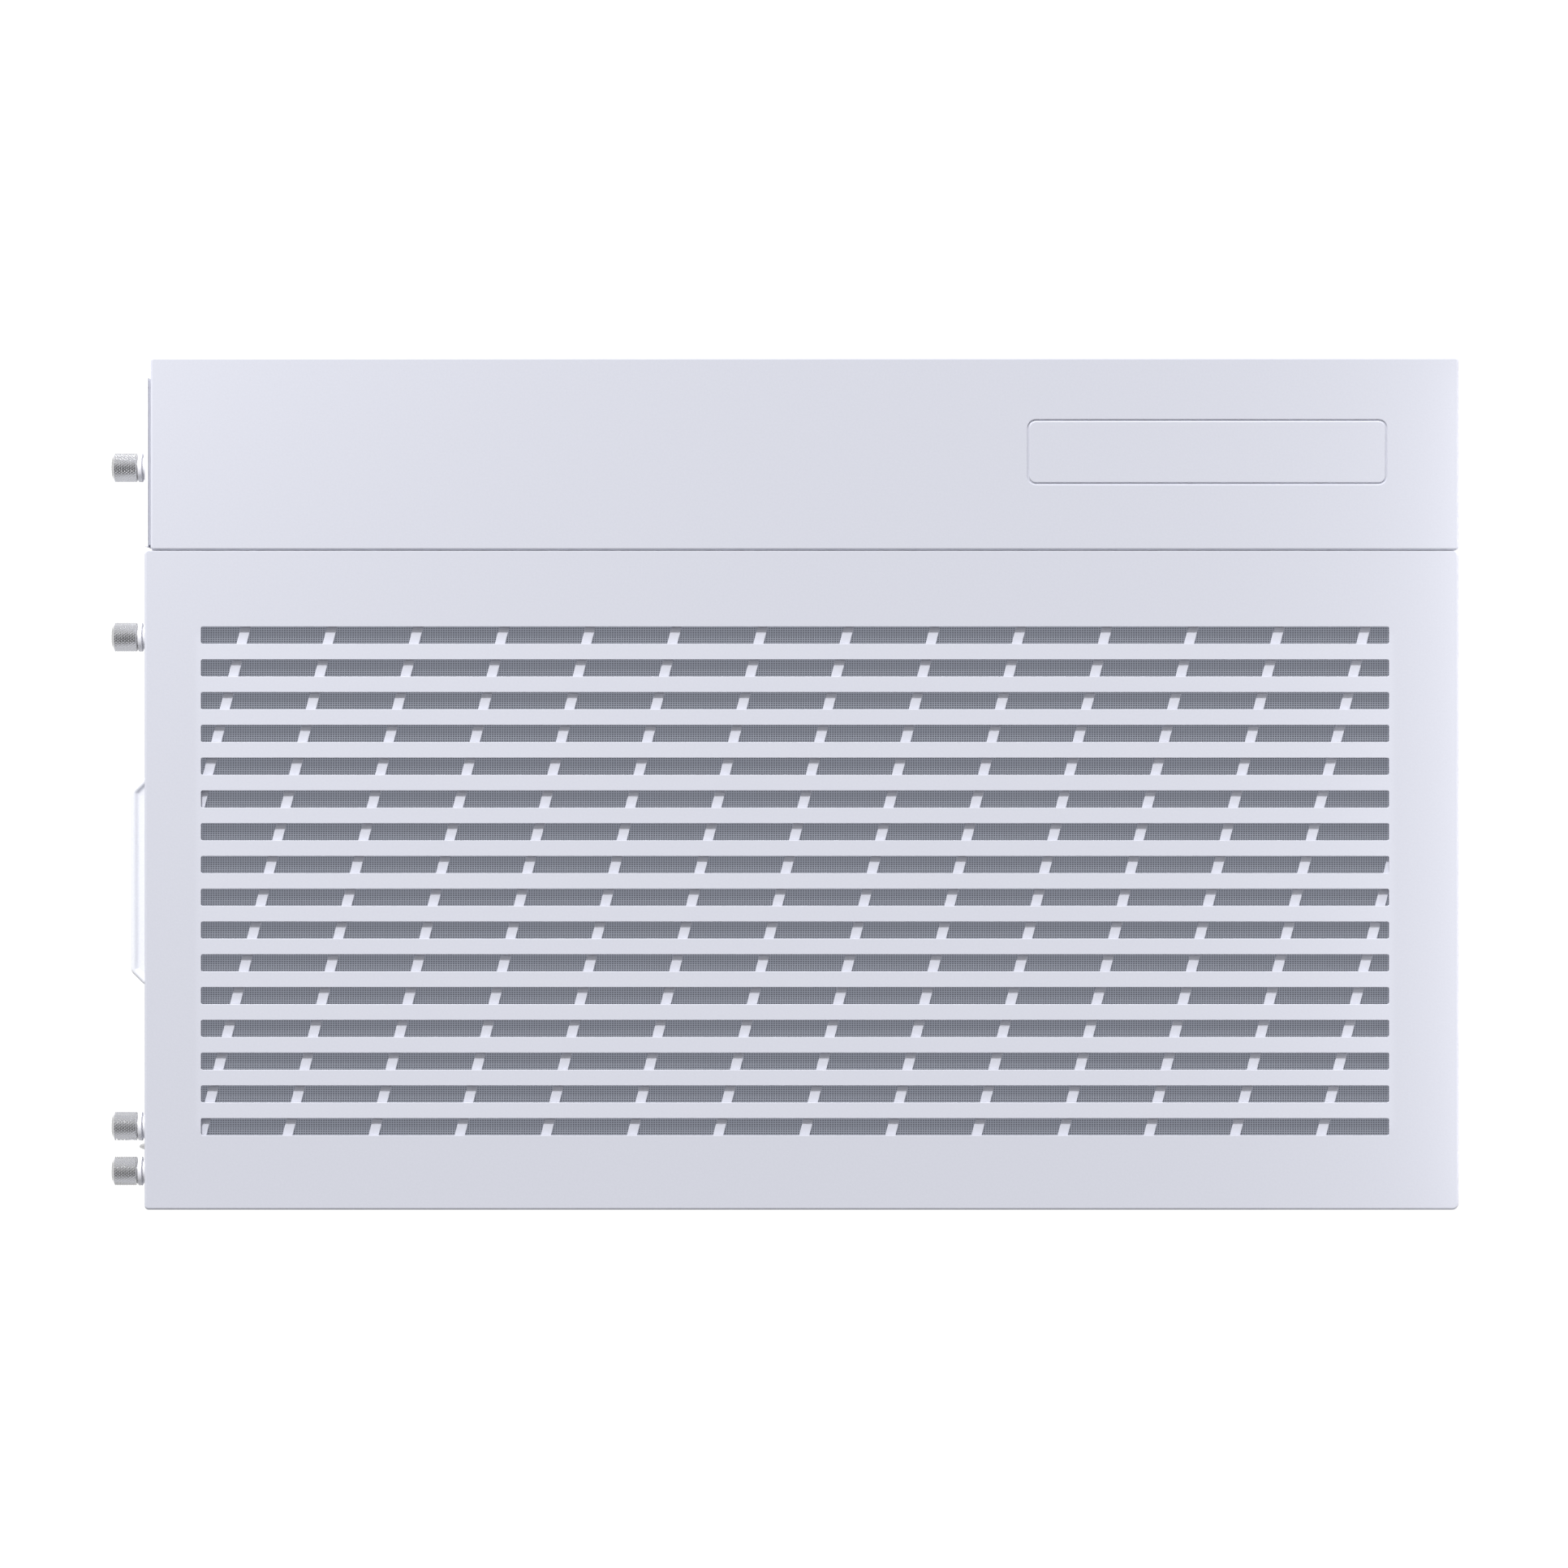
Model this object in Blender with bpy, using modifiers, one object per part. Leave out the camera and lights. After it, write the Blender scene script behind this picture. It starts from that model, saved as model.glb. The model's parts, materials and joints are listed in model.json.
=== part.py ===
"""Dual-chamber computer tower case: white sheet steel, glass front and left side.

Metres, +Z up, +X towards the front, -Y towards the glass side. The origin is the
bottom centre of the whole case. The main chamber lies between the glass side and the
motherboard tray, and the side chamber between the tray and the steel right panel.
"""

import math

import bmesh
import bpy
from mathutils import Matrix, Vector

# Driving dimensions
SHEET = 0.0012
GLASS = 0.004
GAP = 0.0004                    # clearance between two neighbouring pieces
PLATE_GAP = 0.0006              # groove round a flush plate
FRONT_X = 0.23705               # front face of the case
FLANGE_X = -0.2254              # rear face of the panels' folded flanges
WALL_X = -0.2229                # rear face of the rear wall
COVER_REAR_X = -0.2233          # rear edge of the side chamber's top cover
HALF_Y = 0.150
PANEL_END_Y = 0.08165           # seam edge of the vented top panel
SIDE_START_Y = 0.0824           # seam edge of the side chamber's covers
FOOT_Z = 0.003
PAN_Z = (0.008, 0.0192)
SIDE_Z = (0.020, 0.4525)        # glass, side panel and front column
FRAME_Z = (0.0195, 0.4487)      # tray, brackets and post
ROOF_Z = (0.449, 0.4502)
TOP_Z = (0.453, 0.465)          # vented panel and side cover
TRAY_Y = 0.052

# Vents of the top panel
SLOT_COUNT = 16
SLOT_PITCH = 0.01153
SLOT_WIDTH = 0.0060
SLOT_X = (-0.2055, 0.2125)
FIRST_SLOT_Y = 0.0522           # middle of the slot nearest the seam
RIB_PITCH = 0.030325
RIB_WIDTH = 0.00359
RIB_LEAN = math.radians(14.42)
RIB_GAPS = 17                   # openings between ribs, the outer ones partly covered
RIB_MIDDLE_X = 0.01463          # middle of the middle opening
RIB_Z = (0.4620, 0.4634)

# Openings
TOP_WINDOW = ((-0.195, 0.205), (-0.100, 0.031))
PAN_WINDOW = ((-0.180, 0.180), (-0.115, 0.015))
FAN_WINDOW_X = (0.110, 0.222)
IO_CUTOUT = ((0.0005, 0.045), (0.262, 0.42075))
EXPANSION_COUNT = 7
EXPANSION_PITCH = 0.02032
EXPANSION_TOP_Z = 0.250         # middle of the uppermost expansion slot
EXPANSION_Y = (-0.076, 0.034)
PSU_CUTOUT = ((0.062, 0.139), (0.060, 0.202))
GROMMET_X = (0.050, 0.078)
GROMMET_Z = ((0.075, 0.185), (0.245, 0.355))

# Front ports and the matching blank in the side cover
PORT_PLATE = (0.12535, 0.0217)  # length and width of both flush plates
PORT_PLATE_RADIUS = 0.0024
PORT_Y = 0.11665
PORT_Z = 0.125
BLANK_X = 0.148525

# Thumbscrews: the head's and the collar's ends along X
HEAD_X = (-0.2386, -0.2296)
COLLAR_X = (-0.2293, -0.2257)
BUSH_X = -0.2278                # where the collar steps down to its bush
HEAD_RADIUS = 0.0051
BUSH_RADIUS = 0.0044
NECK_RADIUS = 0.0028
BORE_RADIUS = 0.0032
THREAD_RADIUS = 0.0017
TOP_SCREWS = ((0.05195, 0.4465), (-0.12156, 0.4465))
LEFT_SCREWS = ((-0.1375, 0.4465), (-0.1375, 0.045))
PSU_SCREWS = ((0.11204, 0.4465), (0.11204, 0.040))

WHITE = (0.78, 0.80, 0.86, 1.0)
BLACK = (0.02, 0.02, 0.022, 1.0)
STEEL = (0.62, 0.62, 0.64, 1.0)
SMOKE = (0.25, 0.28, 0.30, 0.35)
MESH_GREY = (0.20, 0.205, 0.24, 1.0)
FINISHES = {                    # colour, roughness, metallic
    "white": (WHITE, 0.45, 0.0),
    "black": (BLACK, 0.55, 0.0),
    "rubber": (BLACK, 0.85, 0.0),
    "steel": (STEEL, 0.35, 1.0),
    "glass": (SMOKE, 0.05, 0.0),
    "mesh": (MESH_GREY, 0.70, 0.0),
}

parts = None                    # collection of the case's pieces
cutters = None                  # collection of the shapes that cut or join them


# ---------------------------------------------------------------- scene and shapes

def clear_scene():
    """Remove every object and make the two collections."""
    global parts, cutters
    for thing in list(bpy.data.objects):
        bpy.data.objects.remove(thing, do_unlink=True)
    parts = bpy.data.collections.new("dual_chamber_case")
    cutters = bpy.data.collections.new("cutters")
    bpy.context.scene.collection.children.link(parts)
    bpy.context.scene.collection.children.link(cutters)


def span(middle, size):
    """Return the two ends of a length centred on a point."""
    return (middle - size / 2, middle + size / 2)


def add_block(bm, x, y, z, lean=0.0):
    """Add a box between three pairs of coordinates; lean shears X along Y."""
    size = Vector((x[1] - x[0], y[1] - y[0], z[1] - z[0]))
    middle = Vector((x[0] + x[1], y[0] + y[1], z[0] + z[1])) / 2
    shear = Matrix.Identity(4)
    shear[0][1] = math.tan(lean)
    placed = Matrix.Translation(middle) @ shear @ Matrix.Diagonal(size).to_4x4()
    return bmesh.ops.create_cube(bm, size=1.0, matrix=placed)["verts"]


def add_rod(bm, middle, radius, length, axis, sides=12):
    """Add a closed cylinder along the X, Y or Z axis."""
    turn = Vector((0, 0, 1)).rotation_difference(Vector(axis)).to_matrix().to_4x4()
    bmesh.ops.create_cone(bm, cap_ends=True, segments=sides, radius1=radius,
                          radius2=radius, depth=length,
                          matrix=Matrix.Translation(middle) @ turn)


def round_corners(bm, vertices, axis, radius, steps=3):
    """Round the edges of a block that run along one axis (0, 1 or 2)."""
    edges = {edge for vertex in vertices for edge in vertex.link_edges}
    along = [edge for edge in edges
             if abs((edge.verts[0].co - edge.verts[1].co).normalized()[axis]) > 0.99]
    bmesh.ops.bevel(bm, geom=along, offset=radius, segments=steps, profile=0.5,
                    affect="EDGES")


def as_object(bm, name, collection):
    """Turn a bmesh into an object of one of the two collections."""
    bmesh.ops.recalc_face_normals(bm, faces=bm.faces)
    mesh = bpy.data.meshes.new(name)
    bm.to_mesh(mesh)
    bm.free()
    thing = bpy.data.objects.new(name, mesh)
    collection.objects.link(thing)
    return thing


def finish(part, kind):
    """Give a part its own material."""
    colour, roughness, metallic = FINISHES[kind]
    material = bpy.data.materials.new(part.name)
    material.use_nodes = True
    shader = material.node_tree.nodes["Principled BSDF"]
    shader.inputs["Base Color"].default_value = colour
    shader.inputs["Roughness"].default_value = roughness
    shader.inputs["Metallic"].default_value = metallic
    shader.inputs["Alpha"].default_value = colour[3]
    part.data.materials.append(material)


def block_part(name, x, y, z, kind, bevel=0.0):
    """Make a part from one box, with its edges broken if a bevel is given."""
    bm = bmesh.new()
    add_block(bm, x, y, z)
    part = as_object(bm, name, parts)
    if bevel:
        edges = part.modifiers.new("edges", "BEVEL")
        edges.width = bevel
        edges.segments = 1
    finish(part, kind)
    return part


def rounded_part(name, x, y, z, axis, radius, kind, steps=3):
    """Make a part from one box with rounded corners along one axis."""
    bm = bmesh.new()
    round_corners(bm, add_block(bm, x, y, z), axis, radius, steps)
    part = as_object(bm, name, parts)
    finish(part, kind)
    return part


def shell_part(name, x, y, z, open_sides, front_radius=0.0):
    """Make a folded sheet cover: a box without its open sides, given a thickness.

    An open side is a direction such as (0, 0, -1) for the bottom.
    """
    bm = bmesh.new()
    vertices = add_block(bm, x, y, z)
    if front_radius:
        front = [vertex for vertex in vertices if vertex.co.x > x[1] - GAP]
        edges = [edge for edge in bm.edges if all(v in front for v in edge.verts)
                 and abs(edge.verts[0].co.z - edge.verts[1].co.z) > GAP]
        bmesh.ops.bevel(bm, geom=edges, offset=front_radius, segments=3, profile=0.5,
                        affect="EDGES")
    bmesh.ops.recalc_face_normals(bm, faces=bm.faces)
    gone = [face for face in bm.faces
            if any(face.normal.dot(Vector(side)) > 0.99 for side in open_sides)]
    bmesh.ops.delete(bm, geom=gone, context="FACES")
    mesh = bpy.data.meshes.new(name)
    bm.to_mesh(mesh)
    bm.free()
    part = bpy.data.objects.new(name, mesh)
    parts.objects.link(part)
    wall = part.modifiers.new("sheet", "SOLIDIFY")
    wall.thickness = SHEET
    wall.offset = -1.0
    wall.use_even_offset = True
    finish(part, "white")
    return part


def combine(part, bm, operation):
    """Cut a part with the shapes in a bmesh, or join them to it."""
    tool = as_object(bm, f"{part.name}_{operation.lower()}_{len(part.modifiers)}", cutters)
    tool.hide_render = True
    tool.display_type = "WIRE"
    step = part.modifiers.new(operation.lower(), "BOOLEAN")
    step.operation = operation
    step.object = tool
    step.solver = "EXACT"
    step.use_self = operation == "UNION"
    return tool


def cut(part, blocks, rods=()):
    """Cut boxes and round holes out of a part."""
    bm = bmesh.new()
    for block in blocks:
        add_block(bm, *block)
    for middle, radius, length, axis in rods:
        add_rod(bm, middle, radius, length, axis)
    combine(part, bm, "DIFFERENCE")


def join(part, blocks, rods=()):
    """Join boxes and rods to a part."""
    bm = bmesh.new()
    for block in blocks:
        add_block(bm, *block)
    for middle, radius, length, axis in rods:
        add_rod(bm, middle, radius, length, axis)
    combine(part, bm, "UNION")


def turned_part(name, profile, steps, kind, at, closed=False):
    """Turn a profile of (radius, height) points, listed from the top down.

    The turned part's height runs along -X, away from the rear of the case.
    """
    mesh = bpy.data.meshes.new(name)
    count = len(profile)
    edges = [(i, (i + 1) % count) for i in range(count if closed else count - 1)]
    mesh.from_pydata([(radius, 0.0, height) for radius, height in profile], edges, [])
    part = bpy.data.objects.new(name, mesh)
    parts.objects.link(part)
    part.location = at
    part.rotation_euler = (0.0, -math.pi / 2, 0.0)
    turn = part.modifiers.new("turn", "SCREW")
    turn.angle = 2 * math.pi
    turn.steps = steps
    turn.render_steps = steps
    turn.use_merge_vertices = True
    turn.merge_threshold = 0.00001
    finish(part, kind)
    return part


def body_empty(name, at, members):
    """Hold a moving body's parts together under an empty on its joint."""
    empty = bpy.data.objects.new(name, None)
    parts.objects.link(empty)
    empty.location = at
    for part in members:
        part.parent = empty
        part.location = part.location - Vector(at)
    return empty


# ---------------------------------------------------------------- base and feet

RAIL_X = (0.1868, 0.1880)
RAIL_LIP_Z = (0.0100, 0.0112)
RAIL_LIP_X = (0.1810, 0.1880)
RAIL_Y = (-0.1484, 0.025)
FILTER_HALF_X = 0.1863
FOOT_SIZE = (0.030, 0.040)
FOOT_CENTRES = ((0.2070, 0.118), (0.2070, -0.118), (-0.2045, 0.118), (-0.2045, -0.118))
FOOT_RADIUS = 0.005
PAD_SIZE = (0.026, 0.036)


def make_base_pan():
    """Make the base: a shallow inverted tray with a fan window and filter rails."""
    pan = shell_part("base_pan", (WALL_X, FRONT_X), (-HALF_Y, HALF_Y), PAN_Z, [(0, 0, -1)])
    handle_notch = ((-FILTER_HALF_X - GAP, FILTER_HALF_X + GAP),
                    (-HALF_Y - SHEET, -HALF_Y + 2 * SHEET), (PAN_Z[0] - SHEET, 0.0178))
    through = (PAN_Z[1] - 2 * SHEET, PAN_Z[1] + SHEET)
    cut(pan, [PAN_WINDOW + (through,), handle_notch])
    rails = []
    for side in (-1, 1):
        web = tuple(sorted((side * RAIL_X[0], side * RAIL_X[1])))
        lip = tuple(sorted((side * RAIL_LIP_X[0], side * RAIL_LIP_X[1])))
        rails.append((web, RAIL_Y, (RAIL_LIP_Z[0], PAN_Z[1] - SHEET / 2)))
        rails.append((lip, RAIL_Y, RAIL_LIP_Z))
    join(pan, rails)


def make_feet():
    """Make four feet, each with a rubber pad under it."""
    for number, (x, y) in enumerate(FOOT_CENTRES, 1):
        rounded_part(f"foot_{number}", span(x, FOOT_SIZE[0]), span(y, FOOT_SIZE[1]),
                     (FOOT_Z, PAN_Z[1] - SHEET - GAP), 2, FOOT_RADIUS, "black")
        rounded_part(f"foot_pad_{number}", span(x, PAD_SIZE[0]), span(y, PAD_SIZE[1]),
                     (0.0, FOOT_Z - GAP), 2, FOOT_RADIUS - GAP, "rubber")


# ---------------------------------------------------------------- inner frame

FAN_CENTRE = (-0.068, 0.355)
FAN_RADIUS = 0.056
FAN_SLOTS = 9
FAN_SLOT_PITCH = 0.0112
FAN_SLOT_HEIGHT = 0.006
FAN_SCREW_PITCH = 0.105
PSU_WINDOW = ((0.058, 0.144), (0.056, 0.206))
UPPER_WINDOW = ((0.066, 0.136), (0.262, 0.400))
BOSS_RADIUS = 0.004
BOSS_Y = 0.0457                 # where the motherboard rests
BOSS_X = (-0.2015, -0.0770, 0.0258)
BOSS_Z = (0.424, 0.2691, 0.1421)
CPU_WINDOW = ((-0.160, -0.040), (0.295, 0.405))
CABLE_SLOTS = (((-0.180, -0.120), (0.432, 0.444)), ((-0.060, 0.000), (0.432, 0.444)),
               ((-0.180, -0.110), (0.026, 0.040)), ((-0.060, 0.020), (0.026, 0.040)))
BRACKET_X = (0.1004, 0.2327)
BRACKET_Y = 0.0804


def screw_holes(x, places, radius):
    """Return rods along X that drill the screws' holes in a sheet."""
    return [((x, y, z), radius, 4 * SHEET, (1, 0, 0)) for y, z in places]


def fan_vent(x):
    """Return the slots of the rear fan's grille, clipped to the fan's circle."""
    slots = []
    for row in range(FAN_SLOTS):
        offset = (row - (FAN_SLOTS - 1) / 2) * FAN_SLOT_PITCH
        reach = abs(offset) + FAN_SLOT_HEIGHT / 2
        half = math.sqrt(FAN_RADIUS ** 2 - reach ** 2)
        slots.append((x, span(FAN_CENTRE[0], 2 * half),
                      span(FAN_CENTRE[1] + offset, FAN_SLOT_HEIGHT)))
    return slots


def make_rear_wall():
    """Make the rear wall with its standard cut-outs."""
    inside = WALL_X + SHEET
    wall = block_part("rear_wall", (WALL_X, inside), (-0.144, 0.1484),
                      (FRAME_Z[0], SIDE_Z[1]), "white")
    join(wall, [((WALL_X, WALL_X + 0.018), (-0.144, -0.144 + SHEET),
                 (FRAME_Z[0], FRAME_Z[1] - SHEET))])
    through = (WALL_X - SHEET, inside + SHEET)
    windows = [(through,) + IO_CUTOUT, (through,) + PSU_WINDOW, (through,) + UPPER_WINDOW]
    for slot in range(EXPANSION_COUNT):
        middle = EXPANSION_TOP_Z - slot * EXPANSION_PITCH
        windows.append((through, EXPANSION_Y, span(middle, 0.013)))
    half = FAN_SCREW_PITCH / 2
    corners = [(FAN_CENTRE[0] + a * half, FAN_CENTRE[1] + b * half)
               for a in (-1, 1) for b in (-1, 1)]
    places = TOP_SCREWS + LEFT_SCREWS + PSU_SCREWS
    drills = screw_holes(WALL_X, places, 0.0026) + screw_holes(WALL_X, corners, 0.0022)
    cut(wall, windows + fan_vent(through), drills)


def make_motherboard_tray():
    """Make the tray between the two chambers, with embossed standoff bosses."""
    tray = block_part("motherboard_tray", (WALL_X + SHEET + 0.0003, 0.100),
                      (TRAY_Y, TRAY_Y + SHEET), FRAME_Z, "white")
    depth = TRAY_Y + SHEET / 2 - BOSS_Y
    bosses = [((x, BOSS_Y + depth / 2, z), BOSS_RADIUS, depth, (0, 1, 0))
              for x in BOSS_X for z in BOSS_Z]
    join(tray, [], bosses)
    through = (TRAY_Y - SHEET, TRAY_Y + 2 * SHEET)
    openings = [CPU_WINDOW] + list(CABLE_SLOTS)
    openings += [(GROMMET_X, opening) for opening in GROMMET_Z]
    openings.append(((-0.225, -0.212), (0.438, 0.452)))
    cut(tray, [(x, through, z) for x, z in openings])


def make_side_fan_bracket():
    """Make the fan bracket in front of the tray, with its step back to the tray."""
    bracket = block_part("side_fan_bracket", BRACKET_X, (BRACKET_Y, BRACKET_Y + SHEET),
                         FRAME_Z, "white")
    join(bracket, [((BRACKET_X[0], BRACKET_X[0] + SHEET), (TRAY_Y, BRACKET_Y + SHEET),
                    FRAME_Z)])
    through = (BRACKET_Y - SHEET, BRACKET_Y + 2 * SHEET)
    cut(bracket, [(FAN_WINDOW_X, through, (0.040, 0.430))])


def make_grommets():
    """Make the two rubber-edged cable openings of the tray."""
    for number, opening in enumerate(GROMMET_Z, 1):
        outer_x = (GROMMET_X[0] + GAP, GROMMET_X[1] - GAP)
        outer_z = (opening[0] + GAP, opening[1] - GAP)
        ring = block_part(f"grommet_{number}", outer_x, (0.0502, 0.0550), outer_z, "rubber")
        inner_x = (outer_x[0] + 0.0036, outer_x[1] - 0.0036)
        inner_z = (outer_z[0] + 0.0036, outer_z[1] - 0.0036)
        cut(ring, [(inner_x, (0.048, 0.057), inner_z)])


def make_top_bracket():
    """Make the roof frame that fans or a radiator hang from."""
    roof = block_part("top_bracket", (WALL_X + SHEET + 0.0003, 0.2327), (-0.1435, 0.1484),
                      ROOF_Z, "white")
    join(roof, [((-0.200, 0.215), (-0.1435, -0.1435 + SHEET), (0.440, ROOF_Z[1]))])
    through = (ROOF_Z[0] - SHEET, ROOF_Z[1] + SHEET)
    openings = [TOP_WINDOW + (through,),
                ((-0.150, 0.060), (0.062, 0.142), through),
                ((0.2185, 0.245), (0.0800, 0.1600), through)]
    for x in (-0.125, 0.005, 0.135):
        for y in (-0.107, 0.038):
            openings.append((span(x, 0.060), span(y, 0.0045), through))
    cut(roof, openings)


def make_front_post():
    """Make the slim post where the two glass panels meet."""
    block_part("front_left_post", (0.2220, 0.2325), (-0.1450, -0.1350), FRAME_Z, "white",
               bevel=0.0008)


def make_psu_cradle():
    """Make the shelf that carries the power supply."""
    cradle = block_part("psu_cradle", (-0.2210, -0.060), (0.0538, 0.1480),
                        (0.0540, 0.0552), "black")
    join(cradle, [((-0.0612, -0.060), (0.0538, 0.1480), (FRAME_Z[0], 0.0552))])


# ---------------------------------------------------------------- expansion slots

COVER_X = (WALL_X + SHEET + 0.0003, WALL_X + SHEET + 0.0013)
COVER_Y = (-0.084, 0.037)
COVER_HEIGHT = 0.0184
TAB_X = -0.2100
CLAMP_Z = (0.1180, 0.2600)


def make_slot_covers():
    """Make the expansion slots' covers and the clamp that holds their tabs."""
    for number in range(EXPANSION_COUNT):
        height = span(EXPANSION_TOP_Z - number * EXPANSION_PITCH, COVER_HEIGHT)
        cover = block_part(f"slot_cover_{number + 1}", COVER_X, COVER_Y, height, "white")
        join(cover, [((COVER_X[0], TAB_X), (COVER_Y[0], COVER_Y[0] + 0.001), height)])
    clamp = block_part("slot_cover_clamp", (COVER_X[0], COVER_X[0] + SHEET),
                       (-0.098, -0.0844), CLAMP_Z, "white")
    join(clamp, [((COVER_X[0], TAB_X), (-0.0856, -0.0844), CLAMP_Z)])


# ---------------------------------------------------------------- covers that stay put

LEG_SIZE = 0.004


def make_side_column():
    """Make the front column of the side chamber, open at the rear and the ends."""
    column = shell_part("side_front_column", (0.2230, FRONT_X), (SIDE_START_Y, HALF_Y),
                        SIDE_Z, [(-1, 0, 0), (0, 0, 1), (0, 0, -1)])
    bm = bmesh.new()
    hole = add_block(bm, (FRONT_X - 2 * SHEET, FRONT_X + SHEET),
                     span(PORT_Y, PORT_PLATE[1] + 2 * PLATE_GAP),
                     span(PORT_Z, PORT_PLATE[0] + 2 * PLATE_GAP))
    round_corners(bm, hole, 0, PORT_PLATE_RADIUS + PLATE_GAP)
    combine(column, bm, "DIFFERENCE")


def make_side_cover():
    """Make the side chamber's top cover and the blank plate set flush in it."""
    cover = shell_part("side_top_cover", (COVER_REAR_X, FRONT_X), (SIDE_START_Y, HALF_Y), TOP_Z,
                       [(0, 0, -1)])
    bm = bmesh.new()
    hole = add_block(bm, span(BLANK_X, PORT_PLATE[0] + 2 * PLATE_GAP),
                     span(PORT_Y, PORT_PLATE[1] + 2 * PLATE_GAP),
                     (TOP_Z[1] - 2 * SHEET, TOP_Z[1] + SHEET))
    round_corners(bm, hole, 2, PORT_PLATE_RADIUS + PLATE_GAP)
    combine(cover, bm, "DIFFERENCE")
    blank = rounded_part("top_blank_plate", span(BLANK_X, PORT_PLATE[0]),
                         span(PORT_Y, PORT_PLATE[1]), (0.4635, TOP_Z[1]), 2,
                         PORT_PLATE_RADIUS, "white")
    legs = [(span(BLANK_X + side * 0.055, LEG_SIZE), span(PORT_Y, LEG_SIZE),
             (0.4600, 0.4640)) for side in (-1, 1)]
    join(blank, legs)


def make_front_glass():
    """Make the glass front panel."""
    block_part("front_glass", (FRONT_X - GLASS, FRONT_X), (-HALF_Y, PANEL_END_Y), SIDE_Z,
               "glass", bevel=0.0005)


def make_rear_stud():
    """Make the small pointed guide pin riveted to the rear wall beside the glass panel."""
    profile = [(0.0, 0.0070), (0.0006, 0.0067), (0.0016, 0.0042), (0.0016, 0.0), (0.0, 0.0)]
    turned_part("rear_stud", profile, 12, "steel", (-0.2232, -0.1293, 0.437))


# ---------------------------------------------------------------- front ports

PANEL_X = (0.2356, FRONT_X)
BOARD_X = (0.2220, 0.2236)
SHELL_X = (0.2239, 0.2368)
POWER_Z = PORT_Z + 0.050
USB_A_Z = (PORT_Z + 0.0275, PORT_Z + 0.0065)
USB_C_Z = PORT_Z - 0.0115
AUDIO_Z = PORT_Z - 0.0265
RESET_Z = PORT_Z - 0.0415
USB_A_SIZE = (0.0066, 0.0142)
USB_C_SIZE = (0.0032, 0.0090)
AUDIO_RADIUS = 0.0030
POWER_RADIUS = 0.0055
RESET_RADIUS = 0.0016


def make_io_panel():
    """Make the flush port plate with its openings, and the circuit board behind it."""
    panel = rounded_part("io_panel", PANEL_X, span(PORT_Y, PORT_PLATE[1]),
                         span(PORT_Z, PORT_PLATE[0]), 0, PORT_PLATE_RADIUS, "white")
    through = (PANEL_X[0] - SHEET, PANEL_X[1] + SHEET)
    ports = [(z, USB_A_SIZE) for z in USB_A_Z] + [(USB_C_Z, USB_C_SIZE)]
    blocks = [(through, span(PORT_Y, size[0] + 2 * GAP), span(z, size[1] + 2 * GAP))
              for z, size in ports]
    length = through[1] - through[0]
    middle_x = sum(through) / 2
    holes = [(POWER_Z, POWER_RADIUS), (AUDIO_Z, AUDIO_RADIUS), (RESET_Z, RESET_RADIUS)]
    rods = [((middle_x, PORT_Y, z), radius + GAP, length, (1, 0, 0)) for z, radius in holes]
    cut(panel, blocks, rods)
    block_part("io_board", BOARD_X, (0.1065, 0.1268), (0.0640, 0.1860), "black")


def socket(name, z, size, wall, kind):
    """Make a metal socket: a shell open at the front, with a tongue inside."""
    shell = block_part(name, SHELL_X, span(PORT_Y, size[0]), span(z, size[1]), kind)
    cavity = (size[0] - 2 * wall, size[1] - 2 * wall)
    back = SHELL_X[0] + 0.002
    cut(shell, [((back, SHELL_X[1] + 0.001), span(PORT_Y, cavity[0]), span(z, cavity[1]))])
    tongue = (cavity[0] * 0.35, cavity[1] * 0.8)
    join(shell, [((back - 0.0005, SHELL_X[1] - 0.001), span(PORT_Y, tongue[0]),
                  span(z, tongue[1]))])


def make_sockets():
    """Make the USB sockets and the audio jack."""
    for number, z in enumerate(USB_A_Z, 1):
        socket(f"usb_a_port_{number}", z, USB_A_SIZE, 0.0005, "steel")
    socket("usb_c_port", USB_C_Z, USB_C_SIZE, 0.00035, "steel")
    length = SHELL_X[1] - SHELL_X[0]
    bore = 0.00175
    ring = [(bore, length), (AUDIO_RADIUS, length), (AUDIO_RADIUS, 0.0), (0.0, 0.0)]
    well = [(0.0, 0.002), (bore, 0.002)]
    jack = turned_part("audio_jack", well + ring, 16, "black",
                       (SHELL_X[0], PORT_Y, AUDIO_Z))
    jack.rotation_euler = (0.0, math.pi / 2, 0.0)


def make_button(name, z, radius, stem_radius, stem_x):
    """Make a push button: a cap in the plate's hole and a stem behind it."""
    cap = 0.0045
    reach = FRONT_X - stem_x
    profile = [(0.0, reach), (radius - 0.0004, reach), (radius, reach - 0.0004),
               (radius, reach - cap), (stem_radius, reach - cap), (stem_radius, 0.0),
               (0.0, 0.0)]
    button = turned_part(name, profile, 16, "white", (stem_x, PORT_Y, z))
    button.rotation_euler = (0.0, math.pi / 2, 0.0)
    return body_empty(f"{name}_body", (FRONT_X, PORT_Y, z), [button])


def make_buttons():
    """Make the power and reset buttons."""
    make_button("power_button", POWER_Z, POWER_RADIUS, 0.0025, 0.2262)
    make_button("reset_button", RESET_Z, RESET_RADIUS, 0.0009, 0.2258)


# ---------------------------------------------------------------- thumbscrews

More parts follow.
